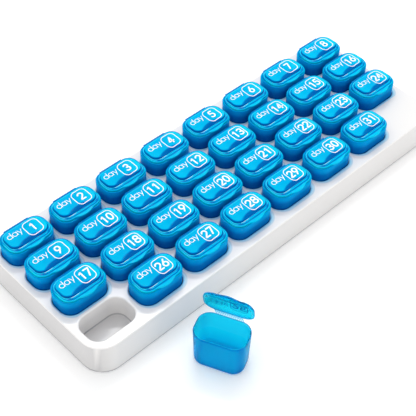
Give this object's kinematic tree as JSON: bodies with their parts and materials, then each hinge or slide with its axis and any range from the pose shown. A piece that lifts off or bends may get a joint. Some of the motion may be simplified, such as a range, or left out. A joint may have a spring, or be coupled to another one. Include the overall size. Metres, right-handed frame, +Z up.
{
  "type": "monthly pill organizer",
  "caption": "Flat tray of sockets, each holding a tapered lift-out pod whose lid hinges along its back edge; one pod stands open in front.",
  "frame": {"origin": "on the table, under the middle of the tray, on the crossing of its two middle ribs", "axes": "+X runs along a row of days, +Y points to the back row that starts with day 1, +Z is up"},
  "size_m": [0.342, 0.1825, 0.0552],
  "materials": {
    "white_tray": "moulded, glossy",
    "blue_cup": "translucent moulded, glossy",
    "blue_lid": "translucent moulded, glossy"
  },
  "bodies": {
    "tray": {"tray": "white_tray"},
    "pod_day_01": {"cup_day_01": "blue_cup"},
    "pod_day_02": {"cup_day_02": "blue_cup"},
    "pod_day_03": {"cup_day_03": "blue_cup"},
    "pod_day_04": {"cup_day_04": "blue_cup"},
    "pod_day_05": {"cup_day_05": "blue_cup"},
    "pod_day_06": {"cup_day_06": "blue_cup"},
    "pod_day_08": {"cup_day_08": "blue_cup"},
    "pod_day_09": {"cup_day_09": "blue_cup"},
    "pod_day_10": {"cup_day_10": "blue_cup"},
    "pod_day_11": {"cup_day_11": "blue_cup"},
    "pod_day_12": {"cup_day_12": "blue_cup"},
    "pod_day_13": {"cup_day_13": "blue_cup"},
    "pod_day_14": {"cup_day_14": "blue_cup"},
    "pod_day_16": {"cup_day_16": "blue_cup"},
    "pod_day_17": {"cup_day_17": "blue_cup"},
    "pod_day_18": {"cup_day_18": "blue_cup"},
    "pod_day_19": {"cup_day_19": "blue_cup"},
    "pod_day_20": {"cup_day_20": "blue_cup"},
    "pod_day_21": {"cup_day_21": "blue_cup"},
    "pod_day_22": {"cup_day_22": "blue_cup"},
    "pod_day_24": {"cup_day_24": "blue_cup"},
    "pod_day_25": {"cup_day_25": "blue_cup"},
    "pod_day_26": {"cup_day_26": "blue_cup"},
    "pod_day_27": {"cup_day_27": "blue_cup"},
    "pod_day_28": {"cup_day_28": "blue_cup"},
    "pod_day_29": {"cup_day_29": "blue_cup"},
    "pod_day_30": {"cup_day_30": "blue_cup"},
    "pods_days_07_15_23_31": {"cups_days_07_15_23_31": "blue_cup"},
    "lid_day_01": {"lid_day_01": "blue_lid"},
    "lid_day_02": {"lid_day_02": "blue_lid"},
    "lid_day_03": {"lid_day_03": "blue_lid"},
    "lid_day_04": {"lid_day_04": "blue_lid"},
    "lid_day_05": {"lid_day_05": "blue_lid"},
    "lid_day_06": {"lid_day_06": "blue_lid"},
    "lid_day_07": {"lid_day_07": "blue_lid"},
    "lid_day_08": {"lid_day_08": "blue_lid"},
    "lid_day_09": {"lid_day_09": "blue_lid"},
    "lid_day_10": {"lid_day_10": "blue_lid"},
    "lid_day_11": {"lid_day_11": "blue_lid"},
    "lid_day_12": {"lid_day_12": "blue_lid"},
    "lid_day_13": {"lid_day_13": "blue_lid"},
    "lid_day_14": {"lid_day_14": "blue_lid"},
    "lid_day_15": {"lid_day_15": "blue_lid"},
    "lid_day_16": {"lid_day_16": "blue_lid"},
    "lid_day_17": {"lid_day_17": "blue_lid"},
    "lid_day_18": {"lid_day_18": "blue_lid"},
    "lid_day_19": {"lid_day_19": "blue_lid"},
    "lid_day_20": {"lid_day_20": "blue_lid"},
    "lid_day_21": {"lid_day_21": "blue_lid"},
    "lid_day_22": {"lid_day_22": "blue_lid"},
    "lid_day_23": {"lid_day_23": "blue_lid"},
    "lid_day_24": {"lid_day_24": "blue_lid"},
    "lid_day_25": {"lid_day_25": "blue_lid"},
    "lid_day_26": {"lid_day_26": "blue_lid"},
    "lid_day_27": {"lid_day_27": "blue_lid"},
    "lid_day_28": {"lid_day_28": "blue_lid"},
    "lid_day_29": {"lid_day_29": "blue_lid"},
    "lid_day_30": {"lid_day_30": "blue_lid"},
    "lid_day_31": {"lid_day_31": "blue_lid"}
  },
  "joints": [
    {"name": "hinge_day_25", "type": "hinge", "parent": "pod_day_25", "child": "lid_day_25", "pos_m": [-0.08895, -0.09602, 0.0294], "axis": [-0.4258, 0.9048, 0], "range_deg": [-77, 103]},
    {"name": "lift_day_25", "type": "slide", "parent": "tray", "child": "pod_day_25", "axis": [0, 0, 1], "range_m": [0, 0.03]},
    {"name": "lift_days_07_15_23_31", "type": "slide", "parent": "tray", "child": "pods_days_07_15_23_31", "axis": [0, 0, 1], "range_m": [0, 0.03]},
    {"name": "hinge_day_01", "type": "hinge", "parent": "pod_day_01", "child": "lid_day_01", "pos_m": [-0.147, 0.0554, 0.0376], "axis": [-1, 0, 0], "range_deg": [0, 180]},
    {"name": "lift_day_01", "type": "slide", "parent": "tray", "child": "pod_day_01", "axis": [0, 0, 1], "range_m": [0, 0.03]},
    {"name": "hinge_day_09", "type": "hinge", "parent": "pod_day_09", "child": "lid_day_09", "pos_m": [-0.147, 0.0272, 0.0376], "axis": [-1, 0, 0], "range_deg": [0, 100]},
    {"name": "lift_day_09", "type": "slide", "parent": "tray", "child": "pod_day_09", "axis": [0, 0, 1], "range_m": [0, 0.03]},
    {"name": "hinge_day_17", "type": "hinge", "parent": "pod_day_17", "child": "lid_day_17", "pos_m": [-0.147, -0.001, 0.0376], "axis": [-1, 0, 0], "range_deg": [0, 100]},
    {"name": "lift_day_17", "type": "slide", "parent": "tray", "child": "pod_day_17", "axis": [0, 0, 1], "range_m": [0, 0.03]},
    {"name": "hinge_day_02", "type": "hinge", "parent": "pod_day_02", "child": "lid_day_02", "pos_m": [-0.105, 0.0554, 0.0376], "axis": [-1, 0, 0], "range_deg": [0, 180]},
    {"name": "lift_day_02", "type": "slide", "parent": "tray", "child": "pod_day_02", "axis": [0, 0, 1], "range_m": [0, 0.03]},
    {"name": "hinge_day_03", "type": "hinge", "parent": "pod_day_03", "child": "lid_day_03", "pos_m": [-0.063, 0.0554, 0.0376], "axis": [-1, 0, 0], "range_deg": [0, 180]},
    {"name": "lift_day_03", "type": "slide", "parent": "tray", "child": "pod_day_03", "axis": [0, 0, 1], "range_m": [0, 0.03]},
    {"name": "hinge_day_04", "type": "hinge", "parent": "pod_day_04", "child": "lid_day_04", "pos_m": [-0.021, 0.0554, 0.0376], "axis": [-1, 0, 0], "range_deg": [0, 180]},
    {"name": "lift_day_04", "type": "slide", "parent": "tray", "child": "pod_day_04", "axis": [0, 0, 1], "range_m": [0, 0.03]},
    {"name": "hinge_day_05", "type": "hinge", "parent": "pod_day_05", "child": "lid_day_05", "pos_m": [0.021, 0.0554, 0.0376], "axis": [-1, 0, 0], "range_deg": [0, 180]},
    {"name": "lift_day_05", "type": "slide", "parent": "tray", "child": "pod_day_05", "axis": [0, 0, 1], "range_m": [0, 0.03]},
    {"name": "hinge_day_06", "type": "hinge", "parent": "pod_day_06", "child": "lid_day_06", "pos_m": [0.063, 0.0554, 0.0376], "axis": [-1, 0, 0], "range_deg": [0, 180]},
    {"name": "lift_day_06", "type": "slide", "parent": "tray", "child": "pod_day_06", "axis": [0, 0, 1], "range_m": [0, 0.03]},
    {"name": "hinge_day_07", "type": "hinge", "parent": "pods_days_07_15_23_31", "child": "lid_day_07", "pos_m": [0.105, 0.0554, 0.0376], "axis": [-1, 0, 0], "range_deg": [0, 180]},
    {"name": "hinge_day_08", "type": "hinge", "parent": "pod_day_08", "child": "lid_day_08", "pos_m": [0.147, 0.0554, 0.0376], "axis": [-1, 0, 0], "range_deg": [0, 180]},
    {"name": "lift_day_08", "type": "slide", "parent": "tray", "child": "pod_day_08", "axis": [0, 0, 1], "range_m": [0, 0.03]},
    {"name": "hinge_day_10", "type": "hinge", "parent": "pod_day_10", "child": "lid_day_10", "pos_m": [-0.105, 0.0272, 0.0376], "axis": [-1, 0, 0], "range_deg": [0, 100]},
    {"name": "lift_day_10", "type": "slide", "parent": "tray", "child": "pod_day_10", "axis": [0, 0, 1], "range_m": [0, 0.03]},
    {"name": "hinge_day_11", "type": "hinge", "parent": "pod_day_11", "child": "lid_day_11", "pos_m": [-0.063, 0.0272, 0.0376], "axis": [-1, 0, 0], "range_deg": [0, 100]},
    {"name": "lift_day_11", "type": "slide", "parent": "tray", "child": "pod_day_11", "axis": [0, 0, 1], "range_m": [0, 0.03]},
    {"name": "hinge_day_12", "type": "hinge", "parent": "pod_day_12", "child": "lid_day_12", "pos_m": [-0.021, 0.0272, 0.0376], "axis": [-1, 0, 0], "range_deg": [0, 100]},
    {"name": "lift_day_12", "type": "slide", "parent": "tray", "child": "pod_day_12", "axis": [0, 0, 1], "range_m": [0, 0.03]},
    {"name": "hinge_day_13", "type": "hinge", "parent": "pod_day_13", "child": "lid_day_13", "pos_m": [0.021, 0.0272, 0.0376], "axis": [-1, 0, 0], "range_deg": [0, 100]},
    {"name": "lift_day_13", "type": "slide", "parent": "tray", "child": "pod_day_13", "axis": [0, 0, 1], "range_m": [0, 0.03]},
    {"name": "hinge_day_14", "type": "hinge", "parent": "pod_day_14", "child": "lid_day_14", "pos_m": [0.063, 0.0272, 0.0376], "axis": [-1, 0, 0], "range_deg": [0, 100]},
    {"name": "lift_day_14", "type": "slide", "parent": "tray", "child": "pod_day_14", "axis": [0, 0, 1], "range_m": [0, 0.03]},
    {"name": "hinge_day_15", "type": "hinge", "parent": "pods_days_07_15_23_31", "child": "lid_day_15", "pos_m": [0.105, 0.0272, 0.0376], "axis": [-1, 0, 0], "range_deg": [0, 100]},
    {"name": "hinge_day_16", "type": "hinge", "parent": "pod_day_16", "child": "lid_day_16", "pos_m": [0.147, 0.0272, 0.0376], "axis": [-1, 0, 0], "range_deg": [0, 100]},
    {"name": "lift_day_16", "type": "slide", "parent": "tray", "child": "pod_day_16", "axis": [0, 0, 1], "range_m": [0, 0.03]},
    {"name": "hinge_day_18", "type": "hinge", "parent": "pod_day_18", "child": "lid_day_18", "pos_m": [-0.105, -0.001, 0.0376], "axis": [-1, 0, 0], "range_deg": [0, 100]},
    {"name": "lift_day_18", "type": "slide", "parent": "tray", "child": "pod_day_18", "axis": [0, 0, 1], "range_m": [0, 0.03]},
    {"name": "hinge_day_19", "type": "hinge", "parent": "pod_day_19", "child": "lid_day_19", "pos_m": [-0.063, -0.001, 0.0376], "axis": [-1, 0, 0], "range_deg": [0, 100]},
    {"name": "lift_day_19", "type": "slide", "parent": "tray", "child": "pod_day_19", "axis": [0, 0, 1], "range_m": [0, 0.03]},
    {"name": "hinge_day_20", "type": "hinge", "parent": "pod_day_20", "child": "lid_day_20", "pos_m": [-0.021, -0.001, 0.0376], "axis": [-1, 0, 0], "range_deg": [0, 100]},
    {"name": "lift_day_20", "type": "slide", "parent": "tray", "child": "pod_day_20", "axis": [0, 0, 1], "range_m": [0, 0.03]},
    {"name": "hinge_day_21", "type": "hinge", "parent": "pod_day_21", "child": "lid_day_21", "pos_m": [0.021, -0.001, 0.0376], "axis": [-1, 0, 0], "range_deg": [0, 100]},
    {"name": "lift_day_21", "type": "slide", "parent": "tray", "child": "pod_day_21", "axis": [0, 0, 1], "range_m": [0, 0.03]},
    {"name": "hinge_day_22", "type": "hinge", "parent": "pod_day_22", "child": "lid_day_22", "pos_m": [0.063, -0.001, 0.0376], "axis": [-1, 0, 0], "range_deg": [0, 100]},
    {"name": "lift_day_22", "type": "slide", "parent": "tray", "child": "pod_day_22", "axis": [0, 0, 1], "range_m": [0, 0.03]},
    {"name": "hinge_day_23", "type": "hinge", "parent": "pods_days_07_15_23_31", "child": "lid_day_23", "pos_m": [0.105, -0.001, 0.0376], "axis": [-1, 0, 0], "range_deg": [0, 100]},
    {"name": "hinge_day_24", "type": "hinge", "parent": "pod_day_24", "child": "lid_day_24", "pos_m": [0.147, -0.001, 0.0376], "axis": [-1, 0, 0], "range_deg": [0, 100]},
    {"name": "lift_day_24", "type": "slide", "parent": "tray", "child": "pod_day_24", "axis": [0, 0, 1], "range_m": [0, 0.03]},
    {"name": "hinge_day_26", "type": "hinge", "parent": "pod_day_26", "child": "lid_day_26", "pos_m": [-0.105, -0.0292, 0.0376], "axis": [-1, 0, 0], "range_deg": [0, 100]},
    {"name": "lift_day_26", "type": "slide", "parent": "tray", "child": "pod_day_26", "axis": [0, 0, 1], "range_m": [0, 0.03]},
    {"name": "hinge_day_27", "type": "hinge", "parent": "pod_day_27", "child": "lid_day_27", "pos_m": [-0.063, -0.0292, 0.0376], "axis": [-1, 0, 0], "range_deg": [0, 100]},
    {"name": "lift_day_27", "type": "slide", "parent": "tray", "child": "pod_day_27", "axis": [0, 0, 1], "range_m": [0, 0.03]},
    {"name": "hinge_day_28", "type": "hinge", "parent": "pod_day_28", "child": "lid_day_28", "pos_m": [-0.021, -0.0292, 0.0376], "axis": [-1, 0, 0], "range_deg": [0, 100]},
    {"name": "lift_day_28", "type": "slide", "parent": "tray", "child": "pod_day_28", "axis": [0, 0, 1], "range_m": [0, 0.03]},
    {"name": "hinge_day_29", "type": "hinge", "parent": "pod_day_29", "child": "lid_day_29", "pos_m": [0.021, -0.0292, 0.0376], "axis": [-1, 0, 0], "range_deg": [0, 100]},
    {"name": "lift_day_29", "type": "slide", "parent": "tray", "child": "pod_day_29", "axis": [0, 0, 1], "range_m": [0, 0.03]},
    {"name": "hinge_day_30", "type": "hinge", "parent": "pod_day_30", "child": "lid_day_30", "pos_m": [0.063, -0.0292, 0.0376], "axis": [-1, 0, 0], "range_deg": [0, 100]},
    {"name": "lift_day_30", "type": "slide", "parent": "tray", "child": "pod_day_30", "axis": [0, 0, 1], "range_m": [0, 0.03]},
    {"name": "hinge_day_31", "type": "hinge", "parent": "pods_days_07_15_23_31", "child": "lid_day_31", "pos_m": [0.105, -0.0292, 0.0376], "axis": [-1, 0, 0], "range_deg": [0, 100]}
  ]
}
